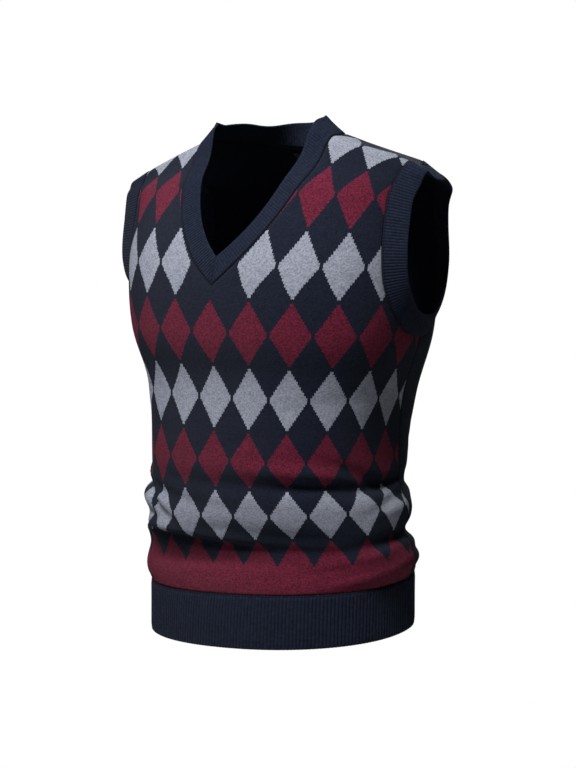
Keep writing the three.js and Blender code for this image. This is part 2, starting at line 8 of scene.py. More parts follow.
import bpy
import numpy as np
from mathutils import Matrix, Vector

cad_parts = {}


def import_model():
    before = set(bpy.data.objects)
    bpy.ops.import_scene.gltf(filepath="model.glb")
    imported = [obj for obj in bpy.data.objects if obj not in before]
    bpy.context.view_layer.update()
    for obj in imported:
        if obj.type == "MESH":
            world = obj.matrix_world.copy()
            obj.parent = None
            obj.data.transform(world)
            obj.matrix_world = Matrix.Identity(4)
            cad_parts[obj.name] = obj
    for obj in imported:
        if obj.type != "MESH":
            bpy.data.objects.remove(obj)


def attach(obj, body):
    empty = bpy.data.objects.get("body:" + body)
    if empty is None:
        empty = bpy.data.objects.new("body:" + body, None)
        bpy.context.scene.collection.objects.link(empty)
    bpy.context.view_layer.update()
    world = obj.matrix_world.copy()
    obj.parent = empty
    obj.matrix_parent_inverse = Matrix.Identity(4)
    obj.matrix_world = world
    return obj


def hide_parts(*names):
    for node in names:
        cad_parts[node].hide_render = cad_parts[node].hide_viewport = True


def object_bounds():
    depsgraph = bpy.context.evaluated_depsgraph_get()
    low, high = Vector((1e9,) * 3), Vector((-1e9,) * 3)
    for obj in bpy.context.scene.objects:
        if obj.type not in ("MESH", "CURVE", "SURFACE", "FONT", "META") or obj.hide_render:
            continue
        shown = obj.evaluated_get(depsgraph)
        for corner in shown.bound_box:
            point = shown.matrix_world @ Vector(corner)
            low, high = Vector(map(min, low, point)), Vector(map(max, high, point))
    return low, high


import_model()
cad_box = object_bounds()

# Cloth, seams and knitting. SEAM_TUCK: how far a band or the hem rib reaches under a panel's edge.
WALL = 0.0022
SEAM_GAP = 0.00012
SEAM_TUCK = 0.0004
RIB_RELIEF = {"hem": 0.0009, "band": 0.0006}
STITCH_WIDE = 0.001783
COURSE_TALL = 0.001273
DIAMOND_STITCHES = 24
DIAMOND_COURSES = 60
RIB_PITCH = {"hem": 0.0041, "neck": 0.0036, "arm": 0.0036}

# Pattern sizes of the panels
SIDE = 0.248
HEM_TALL = 0.062
UNDERARM = 0.342
V_POINT = 0.398
SHOULDER = {"front": 0.612, "back": 0.696}
BACK_NECK = 0.603
ARM_TOP = 0.160
NECK_TOP = 0.070
NECK_STRETCH = 0.020
NECK_STRETCH_RUN = {"left": 0.100, "right": 0.060}
V_FULL = 0.72
NECK_ROUND = 0.060
NECKBAND_WIDE = 0.030
NECKBAND_V_WIDE = 0.025
ARMBAND_WIDE = 0.028

# Level outlines of the worn vest. up, behind: pattern height on the front and on the back panel.
# z: height at the centre. wide: half width. front, side, back: y at the centre front, at the widest
# point and at the centre back. rise: how far the wearer's left side lies higher.
# slope, sweep: how far the shoulder falls and runs back for each metre outwards.
# square: 2 is an ellipse, more is squarer. bulge: how far the wearer's right side lies further out.
LEVEL_COLUMNS = ("up", "behind", "z", "wide", "front", "side", "back", "rise", "slope", "sweep",
                 "square", "bulge")
LEVEL_ROWS = (
    (-0.062, -0.062, -0.598, 0.170, -0.139, -0.010, 0.118, 0.013, 0.00, 0.00, 2.15, 0.000),
    (0.000, 0.000, -0.537, 0.169, -0.132, -0.010, 0.112, 0.013, 0.00, 0.00, 2.3, 0.000),
    (0.038, 0.038, -0.503, 0.175, -0.119, -0.011, 0.093, 0.011, 0.00, 0.00, 2.4, 0.000),
    (0.115, 0.115, -0.443, 0.162, -0.143, -0.008, 0.091, 0.009, 0.00, 0.00, 2.4, 0.000),
    (0.191, 0.191, -0.378, 0.152, -0.150, -0.014, 0.132, 0.001, 0.00, 0.00, 2.4, 0.000),
    (0.267, 0.267, -0.307, 0.157, -0.146, -0.020, 0.160, -0.002, 0.00, 0.00, 2.4, 0.000),
    (0.344, 0.344, -0.232, 0.180, -0.156, -0.024, 0.168, -0.005, 0.00, 0.00, 2.4, 0.000),
    (0.420, 0.420, -0.156, 0.188, -0.146, -0.014, 0.155, -0.005, 0.00, 0.00, 2.4, 0.005),
    (0.497, 0.510, -0.071, 0.194, -0.104, 0.002, 0.124, -0.007, 0.05, 0.00, 2.4, 0.010),
    (0.535, 0.561, -0.033, 0.218, -0.072, 0.008, 0.095, -0.003, 0.17, 0.00, 2.4, 0.003),
    (0.573, 0.640, 0.005, 0.252, -0.050, 0.012, 0.024, 0.000, 0.34, 0.00, 2.4, -0.009),
    (0.592, 0.668, 0.015, 0.266, -0.034, 0.014, -0.002, 0.000, 0.43, 0.00, 2.4, -0.014),
    (0.612, 0.696, 0.018, 0.274, -0.037, -0.012, -0.037, 0.000, 0.45, 0.22, 2.4, -0.018),
)
LEVELS = {name: np.array(column) for name, column in zip(LEVEL_COLUMNS, zip(*LEVEL_ROWS))}

# Folds. across, up: the middle, with across past SIDE counted on over the back panel.
# turn: degrees up from level. long, tall: half length and half height. deep: out, or in if negative.
FOLDS = (
    (0.000, 0.020, 0, 0.900, 0.017, 0.005),
    (-0.150, 0.150, -8, 0.110, 0.009, -0.006),
    (-0.175, 0.134, -12, 0.080, 0.012, 0.009),
    (-0.190, 0.110, -4, 0.085, 0.011, -0.007),
    (-0.120, 0.088, 10, 0.090, 0.013, 0.005),
    (0.040, 0.156, -3, 0.130, 0.012, -0.004),
    (0.165, 0.172, -24, 0.050, 0.009, -0.005),
    (0.215, 0.150, 6, 0.060, 0.009, -0.007),
    (0.225, 0.112, -6, 0.075, 0.017, 0.006),
    (0.230, 0.070, 8, 0.085, 0.011, -0.008),
    (0.150, 0.034, 12, 0.095, 0.008, -0.004),
    (0.095, 0.078, -5, 0.070, 0.012, -0.003),
    (0.000, 0.296, 2, 0.150, 0.024, -0.003),
    (0.310, 0.068, 0, 0.075, 0.009, -0.006),
    (0.315, 0.015, 0, 0.080, 0.008, -0.004),
    (0.330, 0.150, 12, 0.110, 0.012, -0.006),
    (0.380, 0.118, -8, 0.130, 0.015, 0.006),
    (-0.340, 0.142, -10, 0.110, 0.012, -0.006),
    (-0.390, 0.104, 7, 0.120, 0.015, 0.006),
    (0.420, 0.074, 6, 0.120, 0.011, -0.005),
    (-0.300, 0.066, -6, 0.100, 0.011, -0.006),
    (0.450, 0.190, -14, 0.100, 0.014, -0.004),
)

# Small creases, finer than the solids' folds, with the same columns
CREASES = (
    (-0.060, 0.074, -8, 0.110, 0.006, -0.0058),
    (-0.050, 0.088, -8, 0.110, 0.010, 0.0046),
    (0.080, 0.062, -6, 0.080, 0.007, -0.0030),
    (0.120, 0.156, -4, 0.060, 0.008, -0.0052),
    (0.090, 0.178, -6, 0.060, 0.009, 0.0040),
    (0.160, 0.172, -28, 0.040, 0.005, 0.0030),
    (0.185, 0.158, -30, 0.045, 0.005, -0.0035),
    (0.205, 0.120, 20, 0.030, 0.008, -0.0030),
    (-0.125, 0.150, -30, 0.050, 0.006, 0.0052),
    (-0.105, 0.128, -35, 0.050, 0.006, -0.0050),
    (-0.155, 0.118, -30, 0.045, 0.007, 0.0050),
    (-0.010, 0.030, 3, 0.090, 0.008, 0.0025),
    (0.150, 0.022, 12, 0.070, 0.005, -0.0035),
    (0.180, 0.044, 10, 0.050, 0.007, 0.0030),
    (0.030, 0.214, 14, 0.060, 0.009, -0.0012),
    (-0.090, 0.246, -16, 0.070, 0.012, 0.0010),
    (0.120, 0.262, 10, 0.070, 0.012, -0.0012),
    (0.380, 0.192, -10, 0.070, 0.008, -0.0020),
    (0.440, 0.150, 12, 0.060, 0.007, 0.0025),
    (-0.430, 0.172, 14, 0.080, 0.008, 0.0022),
    (-0.350, 0.208, -10, 0.060, 0.010, -0.0018),
    (0.330, 0.036, -6, 0.070, 0.006, -0.0030),
    (-0.380, 0.040, 8, 0.080, 0.006, -0.0028),
    (-0.450, 0.066, -6, 0.060, 0.008, 0.0025),
)

# The folds fade out this far above the hem rib's seam
HEM_HOLD = 0.014


def lerp(a, b, t):
    return a + (b - a) * t


def smooth(value, low, high):
    t = np.clip((value - low) / (high - low), 0, 1)
    return t * t * (3 - 2 * t)


def unit(vectors):
    return vectors / np.linalg.norm(vectors, axis=-1, keepdims=True)


# The worn form

def level_values(panel, up):
    """Curves through the level table at each pattern height, one array a column."""
    keys = LEVELS["up" if panel == "front" else "behind"]
    last = len(keys) - 1
    i = np.searchsorted(keys[1:last], up, side="left")
    span = keys[i + 1] - keys[i]
    t = (up - keys[i]) / span
    below, above = np.maximum(i - 1, 0), np.minimum(i + 2, last)
    values = {}
    for name in LEVEL_COLUMNS[2:]:
        column = LEVELS[name]
        start = (column[i + 1] - column[below]) / (keys[i + 1] - keys[below]) * span
        end = (column[above] - column[i]) / (keys[above] - keys[i]) * span
        values[name] = ((2 * t**3 - 3 * t**2 + 1) * column[i] + (t**3 - 2 * t**2 + t) * start
                        + (3 * t**2 - 2 * t**3) * column[i + 1] + (t**3 - t**2) * end)
    return values


OUTLINE_STEPS = 96
SEAM_PLACE = 98 / 180 * 2 * OUTLINE_STEPS


def level_outlines(values):
    """Half outline of each level from the centre front to the centre back, with its running length."""
    angle = np.linspace(0, math.pi, 2 * OUTLINE_STEPS + 1)
    power = (2 / values["square"])[:, None]
    depth = np.abs(np.cos(angle))[None, :] ** power
    ahead = np.arange(len(angle)) < OUTLINE_STEPS
    end = np.where(ahead, values["front"][:, None], values["back"][:, None])
    x = values["wide"][:, None] * np.abs(np.sin(angle))[None, :] ** power
    y = lerp(values["side"][:, None], end, depth)
    steps = np.hypot(np.diff(x, axis=1), np.diff(y, axis=1))
    run = np.concatenate([np.zeros((len(x), 1)), np.cumsum(steps, axis=1)], axis=1)
    whole = int(SEAM_PLACE)
    seam = lerp(run[:, whole], run[:, whole + 1], SEAM_PLACE - whole)
    return x, y, run, seam


def neck_stretch(across, up):
    """The worn V opens the front, so its columns move outwards above the V point."""
    run = np.where(np.asarray(across) < 0, NECK_STRETCH_RUN["right"], NECK_STRETCH_RUN["left"])
    rise = np.maximum(up - V_POINT, 0)
    whole = 1 - np.exp(-(SHOULDER["front"] - V_POINT) / run)
    return NECK_STRETCH * (1 - np.exp(-rise / run)) / whole


def smooth_points(panel, across, up):
    """Places of pattern points on the worn shape, before its folds."""
    across, up = np.broadcast_arrays(np.asarray(across, float), np.asarray(up, float))
    levels, which = np.unique(up, return_inverse=True)
    values = level_values(panel, levels)
    x, y, run, seam = level_outlines(values)
    share = np.abs(across) / SIDE
    opened = neck_stretch(across, up) / SIDE * (1 - share)
    seam, total = seam[which], run[which, -1]
    length = (share + opened) * seam if panel == "front" else total - share * (total - seam)
    i = (run[which][:, 1:-1] < length[:, None]).sum(axis=1)
    t = (length - run[which, i]) / (run[which, i + 1] - run[which, i])
    half = lerp(x[which, i], x[which, i + 1], t)
    level = {name: column[which] for name, column in values.items()}
    place_x = np.where(across < 0, -half - level["bulge"] * (half / level["wide"]) ** 2, half)
    place_x = np.where(across == 0, 0, place_x)
    out = np.hypot(place_x, NECK_ROUND) - NECK_ROUND
    place_y = lerp(y[which, i], y[which, i + 1], t) + level["sweep"] * out
    place_z = level["z"] + level["rise"] * place_x / level["wide"] - level["slope"] * out
    return np.stack([place_x, place_y, place_z], axis=-1)


NORMAL_STEP = 0.002
EDGE_NEAR = 0.001


def outward(panel, across, up):
    """Outward directions of the worn shape."""
    step = NORMAL_STEP
    low = np.minimum(up, SHOULDER[panel] - step)
    sign = np.where(across < 0, -1.0, 1.0)
    near = np.minimum(np.abs(across), SIDE - step)
    here = smooth_points(panel, sign * near, low)
    beside = smooth_points(panel, sign * (near + step), low)
    above = smooth_points(panel, sign * near, low + step)
    normal = unit(np.cross((beside - here) * sign[:, None], above - here))
    return normal if panel == "front" else -normal


def partner_column(panel, across):
    """The column of the other panel that meets this one on the shoulder seam."""
    _, _, run, seam = level_outlines(level_values("front", np.array([SHOULDER["front"]])))
    ratio = seam[0] / (run[0, -1] - seam[0])
    opened = NECK_STRETCH / SIDE
    share = np.abs(across) / SIDE
    sign = np.where(np.asarray(across) < 0, -1.0, 1.0)
    if panel == "front":
        return sign * SIDE * (share + opened * (1 - share)) * ratio
    return sign * SIDE * (share / ratio - opened) / (1 - opened)


def cloth_normals(panel, across, up):
    """Outward directions, shared by both panels along the shoulder and side seams."""
    normal = outward(panel, across, up)
    other = "back" if panel == "front" else "front"
    on_shoulder = up > SHOULDER[panel] - EDGE_NEAR
    on_side = (up <= UNDERARM) & (np.abs(across) > SIDE - EDGE_NEAR) & ~on_shoulder
    for where, columns, heights in (
        (on_shoulder, partner_column(panel, across), np.full_like(up, SHOULDER[other])),
        (on_side, across, up),
    ):
        if where.any():
            shared = normal[where] + outward(other, columns[where], heights[where])
            normal[where] = unit(shared)
    return normal


def fold_depth(panel, across, up, folds):
    """How far the folds move pattern points outwards."""
    sign = np.where(across < 0, -1.0, 1.0)
    around = across if panel == "front" else sign * (2 * SIDE - np.abs(across))
    depth = np.zeros_like(up)
    for middle, height, turn, long, tall, deep in folds:
        side = around - middle
        side = side - 4 * SIDE * np.round(side / (4 * SIDE))
        rise = up - height
        cos, sin = math.cos(math.radians(turn)), math.sin(math.radians(turn))
        along = side * cos + rise * sin
        over = rise * cos - side * sin
        depth += deep * np.exp(-((along / long) ** 2) - (over / tall) ** 2)
    return depth * smooth(up, 0, HEM_HOLD)


def cloth_points(panel, across, up, fine=True):
    """Places and outward directions of pattern points, folds included."""
    across, up = (np.array(v, float) for v in np.broadcast_arrays(across, up))
    normal = cloth_normals(panel, across, up)
    folds = FOLDS + CREASES if fine else FOLDS
    place = smooth_points(panel, across, up) + normal * fold_depth(panel, across, up, folds)[:, None]
    return place, normal


# Pattern outlines of one half: across and up for t from 0 at the underarm to 1 at the shoulder.
# narrow: half width of the panel between the armholes, at the height turn where their curve ends.
BACK_NECK_TOP = float(partner_column("front", NECK_TOP))
ARM_TURN_SHARE = 0.54
ARM_CURVE = 2.3
ARMHOLES = {
    "front": {"narrow": 0.163, "turn": 0.470, "top": ARM_TOP},
    "back": {"narrow": 0.176, "turn": 0.470, "top": float(partner_column("front", ARM_TOP))},
}
V_SHARE = 3 / 14
V_POWER = 0.95
BACK_NECK_ROUND = 1.9
BACK_NECK_POWER = 0.72


def arm_rail(panel, t):
    hole = ARMHOLES[panel]
    s = np.maximum(t - ARM_TURN_SHARE, 0) / (1 - ARM_TURN_SHARE)
    angle = np.minimum(t / ARM_TURN_SHARE, 1) * math.pi / 2
    power = 2 / ARM_CURVE
    curve_across = SIDE - (SIDE - hole["narrow"]) * np.sin(angle) ** power
    curve_up = hole["turn"] - (hole["turn"] - UNDERARM) * np.maximum(np.cos(angle), 0) ** power
    high = t > ARM_TURN_SHARE
    across = np.where(high, lerp(hole["narrow"], hole["top"], s * s), curve_across)
    up = np.where(high, lerp(hole["turn"], SHOULDER[panel], s), curve_up)
    return across, up


def centre_rail(t):
    s = np.maximum(t - V_SHARE, 0) / (1 - V_SHARE)
    across = NECK_TOP * np.sin(np.minimum(s / V_FULL, 1) * math.pi / 2) ** V_POWER
    up = np.where(t <= V_SHARE, lerp(UNDERARM, V_POINT, t / V_SHARE), lerp(V_POINT, SHOULDER["front"], s))
    return across, up


def back_neck_up(across):
    s = np.minimum(np.abs(across) / BACK_NECK_TOP, 1)
    fall = (1 - s**BACK_NECK_ROUND) ** BACK_NECK_POWER
    return SHOULDER["back"] - (SHOULDER["back"] - BACK_NECK) * fall


# Meshes

def new_piece(name, vertices, faces):
    mesh = bpy.data.meshes.new(name)
    mesh.from_pydata([tuple(v) for v in vertices], [], faces)
    mesh.update()
    piece = bpy.data.objects.new(name, mesh)
    bpy.context.collection.objects.link(piece)
    return piece


def only(piece):
    bpy.ops.object.select_all(action="DESELECT")
    piece.select_set(True)
    bpy.context.view_layer.objects.active = piece


def face_outwards(piece):
    only(piece)
    bpy.ops.object.mode_set(mode="EDIT")
    bpy.ops.mesh.select_all(action="SELECT")
    bpy.ops.mesh.normals_make_consistent(inside=False)
    bpy.ops.object.mode_set(mode="OBJECT")
    bpy.ops.object.shade_smooth()


def map_points(piece, name, coordinates):
    """A UV map with one pair of numbers for each vertex."""
    layer = piece.data.uv_layers.new(name=name)
    corners = np.empty(len(piece.data.loops), dtype=np.int32)
    piece.data.loops.foreach_get("vertex_index", corners)
    layer.data.foreach_set("uv", np.asarray(coordinates, float)[corners].ravel())


def grid_faces(index, flip=False):
    a, b = index[:-1, :-1].ravel(), index[:-1, 1:].ravel()
    c, d = index[1:, 1:].ravel(), index[1:, :-1].ravel()
    quads = np.stack([a, d, c, b] if flip else [a, b, c, d], axis=1)
    return [tuple(int(v) for v in quad) for quad in quads]


# Panels

CELL = 0.0042
RAIL_ROWS = 84
HALF_COLUMNS = 60
SEAM_DIP = 0.0007
SEAM_DIP_WIDE = 0.0024


def seam_distance(across, up, seams):
    """Distance in the pattern from each point to the nearest of the seam lines."""
    best = np.full(len(up), 1.0)
    for line_across, line_up in seams:
        for chunk in range(0, len(up), 2000):
            part = slice(chunk, chunk + 2000)
            gap = np.hypot(across[part, None] - line_across[None, :], up[part, None] - line_up[None, :])
            best[part] = np.minimum(best[part], gap.min(axis=1))
    return best


def panel_seams(panel):
    t = np.linspace(0, 1, 400)
    arm_across, arm_up = arm_rail(panel, t)
    side_up = t * UNDERARM
    hem_across = lerp(-SIDE, SIDE, t)
    if panel == "front":
        neck_across, neck_up = centre_rail(lerp(V_SHARE, 1, t))
    else:
        neck_across = t * BACK_NECK_TOP
        neck_up = back_neck_up(neck_across)
    lines = [(hem_across, 0 * t)]
    for sign in (-1, 1):
        lines += [(sign * arm_across, arm_up), (sign * neck_across, neck_up),
                  (np.full_like(t, sign * SIDE), side_up)]
    return lines


def dress_panel(piece_name, panel, across, up, faces, materials):
    """Makes the worn cloth from pattern points: the outer face, then its wall inside it."""
    place, normal = cloth_points(panel, across, up)
    dip = SEAM_DIP * np.exp(-((seam_distance(across, up, panel_seams(panel)) / SEAM_DIP_WIDE) ** 2))
    place -= normal * dip[:, None]
    piece = new_piece(piece_name, place, faces)
    map_points(piece, "stitches", np.stack([across / STITCH_WIDE, up / COURSE_TALL], axis=1))
    for material in materials:
        piece.data.materials.append(material)
    only(piece)
    bpy.ops.object.shade_smooth()
    wall = piece.modifiers.new("wall", "SOLIDIFY")
    wall.thickness = WALL
    wall.offset = -1
    wall.material_offset = 1
    wall.material_offset_rim = 1
    return piece


def half_rows():
    """Rows of pattern points of one front half beside the V, from the V point to the shoulder."""
    rows = int(RAIL_ROWS * (1 - V_SHARE))
    t = lerp(V_SHARE, 1, np.linspace(0, 1, rows + 1))
    across_in, up_in = centre_rail(t)
    across_out, up_out = arm_rail("front", t)
    share = np.linspace(0, 1, HALF_COLUMNS + 1)
    across = lerp(across_in[:, None], across_out[:, None], share[None, :])
    up = lerp(up_in[:, None], up_out[:, None], share[None, :])
    return across, up


def front_panel(materials):
    body_rows = int(UNDERARM / CELL)
    share = np.linspace(-1, 1, 2 * HALF_COLUMNS + 1)
    body_up = np.linspace(0, UNDERARM, body_rows + 1)
    across = np.repeat(SIDE * share[None, :], body_rows + 1, axis=0)
    up = np.repeat(body_up[:, None], len(share), axis=1)
    t = np.linspace(0, V_SHARE, int(RAIL_ROWS * V_SHARE) + 1)[1:]
    arm_across, arm_up = arm_rail("front", t)
    _, centre_up = centre_rail(t)
    across = np.concatenate([across, arm_across[:, None] * share[None, :]])
    up = np.concatenate([up, lerp(centre_up[:, None], arm_up[:, None], np.abs(share)[None, :])])
    lower = np.arange(across.size).reshape(across.shape)
    faces = grid_faces(lower)
    across_all, up_all = [across.ravel()], [up.ravel()]
    half_across, half_up = half_rows()
    start = across.size
    for sign in (1, -1):
        new_across, new_up = sign * half_across[1:], half_up[1:]
        index = start + np.arange(new_across.size).reshape(new_across.shape)
        middle = lower[-1, HALF_COLUMNS:] if sign > 0 else lower[-1, HALF_COLUMNS::-1]
        faces += grid_faces(np.concatenate([middle[None, :], index]), flip=sign < 0)
        across_all.append(new_across.ravel())
        up_all.append(new_up.ravel())
        start += new_across.size
    return dress_panel("front_knit", "front", np.concatenate(across_all), np.concatenate(up_all),
                       faces, materials)


def back_panel(materials):
    body_rows = int(UNDERARM / CELL)
    share = np.linspace(-1, 1, 2 * HALF_COLUMNS + 1)
    size = np.abs(share)
    across = [SIDE * share] * (body_rows + 1)
    up = [np.full_like(share, height) for height in np.linspace(0, UNDERARM, body_rows + 1)]
    neck_part = 0.5
    neck_across = BACK_NECK_TOP * np.sin(np.minimum(size / neck_part, 1) * math.pi / 2)
    neck_up = back_neck_up(neck_across)
    beyond = np.maximum(size - neck_part, 0) / (1 - neck_part)
    top = ARMHOLES["back"]["top"]
    for t in np.linspace(0, 1, RAIL_ROWS + 1)[1:]:
        arm_across, arm_up = (float(v) for v in arm_rail("back", np.array(t)))
        fraction = lerp(size, lerp(neck_across, top, beyond) / top, t * t)
        edge_rise = (arm_up - UNDERARM) / (SHOULDER["back"] - UNDERARM)
        across.append(np.sign(share) * fraction * arm_across)
        up.append(lerp(UNDERARM, neck_up, 1.0 if t == 1 else lerp(t, edge_rise, size)))
    across, up = np.array(across), np.array(up)
    faces = grid_faces(np.arange(across.size).reshape(across.shape), flip=True)
    return dress_panel("back_knit", "back", across.ravel(), up.ravel(), faces, materials)


# Ribbed bands

EDGE_STEPS = 5
RIB_ROUND = 0.7
SEAM_RIB = 0.25
INNER_RIB = 0.3


def ribbed_piece(name, places, normals, reaches, run, pitch, high, material):
    """A ribbed wall. places and normals: rows from the seam to the free edge, a column for each station.
    reaches: how far each row lies from the seam. run: length along the seam at each station.
    high: how far the ribs stand out."""
    rows, count = places.shape[:2]
    ridge = np.abs(np.sin(math.pi * run / pitch)) ** RIB_ROUND
    away = reaches - reaches[0]
    left = reaches[-1] - reaches
    hold = smooth(away, -0.001, 0.002) * smooth(left, -0.001, 0.0035)
    relief = high * lerp(SEAM_RIB, 1, hold) * ridge[None, :]
    outer = places + normals * relief[..., None]
    inner = places - normals * (WALL - INNER_RIB * relief * hold)[..., None]
    outwards = unit(places[-1] - places[-2])
    middle = (outer[-1] + inner[-1]) / 2
    radius = np.linalg.norm(outer[-1] - inner[-1], axis=-1, keepdims=True) / 2
    round_edge = []
    for k in range(1, EDGE_STEPS):
        angle = math.pi * k / EDGE_STEPS
        round_edge.append(middle + radius * (normals[-1] * math.cos(angle) + outwards * math.sin(angle)))
    loop = np.concatenate([outer, np.array(round_edge), inner[::-1]])
    sizes = np.concatenate([reaches, np.repeat(reaches[-1:], EDGE_STEPS - 1, axis=0), reaches[::-1]])
    length = len(loop)
    index = np.arange(length * count).reshape(length, count)
    faces = grid_faces(np.concatenate([index, index[:1]]))
    faces.append(tuple(int(v) for v in index[:, 0]))
    faces.append(tuple(int(v) for v in index[::-1, -1]))
    piece = new_piece(name, loop.reshape(-1, 3), faces)
    ribs = np.broadcast_to(run[None, :] / pitch, sizes.shape)
    map_points(piece, "stitches", np.stack([ribs.ravel(), (sizes / COURSE_TALL).ravel()], axis=1))
    face_outwards(piece)
    piece.data.materials.append(material)
    return piece


def even_stations(points, spacing):
    """Where along a fine line of points to put stations an even length apart."""
    steps = np.linalg.norm(np.diff(points, axis=0), axis=1)
    run = np.concatenate([[0], np.cumsum(steps)])
    count = int(round(run[-1] / spacing))
    return run, np.linspace(0, run[-1], count + 1)


HEM_RIB_STEPS = 8
HEM_ROWS = 12
BAND_RIB_STEPS = 7
BAND_ROWS = 9
BAND_TURN = 0.007


def hem_rib(name, panel, material):
    ribs = round(2 * SIDE / RIB_PITCH["hem"])
    pitch = 2 * SIDE / ribs
    edge = SIDE - SEAM_GAP / 2
    across = np.linspace(-edge, edge, HEM_RIB_STEPS * ribs + 1)
    reach = np.linspace(-SEAM_TUCK, HEM_TALL - WALL / 2, HEM_ROWS)
    places, normals = [], []
    for distance in reach:
        place, normal = cloth_points(panel, across, np.full_like(across, -distance))
        places.append(place)
        normals.append(normal)
    reaches = np.repeat(reach[:, None], len(across), axis=1)
    return ribbed_piece(name, np.array(places), np.array(normals), reaches, across + SIDE, pitch,
                        RIB_RELIEF["hem"], material)


def band_rows(place, normal, direction, along, wide, rows):
    """Rows of a band that starts on a seam: its wall turns square to its own direction a little way out."""
    square = unit(np.cross(along, direction))
    square = square * np.sign((square * normal).sum(axis=-1, keepdims=True))
    reaches = np.linspace(0, 1, rows)[:, None] * (wide + SEAM_TUCK - WALL / 2)[None, :] - SEAM_TUCK
    places = place[None] + direction[None] * reaches[..., None]
    turn = smooth(reaches, 0, BAND_TURN)[..., None]
    normals = unit(lerp(normal[None], square[None], turn))
    return places, normals, reaches


def across_edge(panel, rail, t, sign):
    """Directions in the cloth, square to an edge."""
    step = 0.01
    before = rail(np.maximum(t - step, 0))
    after = rail(np.minimum(t + step, 1))
    a = smooth_points(panel, sign * before[0], before[1])
    b = smooth_points(panel, sign * after[0], after[1])
    across, up = rail(t)
    normal = cloth_normals(panel, sign * across, up)
    return unit(np.cross(b - a, normal)) * sign


# The armhole bands flare away from the body, less at the underarm and at the shoulder, where they
# droop. drawn: how far the back part turns in and forwards near the shoulder.
ARM_FLARE = {"left": 1.0, "right": 1.8, "underarm": 0.3, "from": 0.1, "to": 0.6, "fade": 0.6}
ARM_DROOP = {"left": 0.4, "right": 0.9}
BACK_DRAWN = {"left": 0.4, "right": 0.1}
ARM_POINTS = 700
ARM_SPREAD = {"direction": 100, "normal": 20}


def armhole_band(side, sign, material):
    place, normal, direction = [], [], []
    rising = np.linspace(0, 1, ARM_POINTS)
    for panel, facing, t in (("front", 1, rising), ("back", -1, np.linspace(1, 0, ARM_POINTS))):
        def rail(s, panel=panel):
            return arm_rail(panel, s)
        across, up = rail(t)
        points, out = cloth_points(panel, sign * across, up)
        towards = across_edge(panel, rail, t, sign) * facing
        spreading = smooth(t, ARM_FLARE["from"], ARM_FLARE["to"])
        flare = lerp(ARM_FLARE["underarm"], ARM_FLARE[side], spreading) * (1 - ARM_FLARE["fade"] * t**3)
        drawn = BACK_DRAWN[side] * t**2 if panel == "back" else 0 * t
        level = [sign * flare * (1 - drawn), -0.5 * drawn, -ARM_DROOP[side] * t**3 - drawn]
        towards = towards + np.stack(level, axis=-1)
        place.append(points)
        normal.append(out)
        direction.append(unit(towards))
    place, normal, direction = (np.concatenate(v) for v in (place, normal, direction))
    direction = unit(spread(direction, ARM_SPREAD["direction"]))
    normal = unit(spread(normal, ARM_SPREAD["normal"]))
    run, stations = even_stations(place, RIB_PITCH["arm"] / BAND_RIB_STEPS)
    place, normal, direction = (resample(v, run, stations) for v in (place, normal, direction))
    normal, direction = unit(normal), unit(direction)
    along = unit(np.gradient(place, axis=0))
    places, normals, reaches = band_rows(place, normal, direction, along,
                                         np.full(len(stations), ARMBAND_WIDE), BAND_ROWS)
    pitch = run[-1] / round(run[-1] / RIB_PITCH["arm"])
    high = RIB_RELIEF["band"]
    return ribbed_piece(f"armhole_rib_{side}", places, normals, reaches, stations, pitch, high, material)


def resample(values, run, stations):
    return np.stack([np.interp(stations, run, values[:, k]) for k in range(values.shape[1])], axis=-1)


def spread(values, reach):
    """Evens out a row of directions along a band with a sliding mean, its ends held."""
    padded = np.concatenate([values[:1].repeat(reach, axis=0), values, values[-1:].repeat(reach, axis=0)])
    total = np.concatenate([np.zeros((1, values.shape[1])), np.cumsum(padded, axis=0)])
    width = 2 * reach + 1
    return (total[width:] - total[:-width]) / width


# The neckband lies in the chest at the V point, sinks in beside the throat and stands up round the
# neck. BACK_LEAN: how far it leans inwards for each metre up, at the centre back and at each side.
NECK_STAND = 0.8
NECK_FORWARD = -0.35
NECK_SINK = 0.3
NECK_CENTRE = np.array([0, -0.045, 0])
BACK_LEAN = {"right": 1.35, "centre": 0.05, "left": 1.25}
BACK_LEAN_FULL = {"right": 0.7, "left": 1.0}
NECK_POINTS = 500
NECK_SPREAD = 25
MITRE_STEP = 0.012
NECK_WIDENS = (0.08, 0.27)


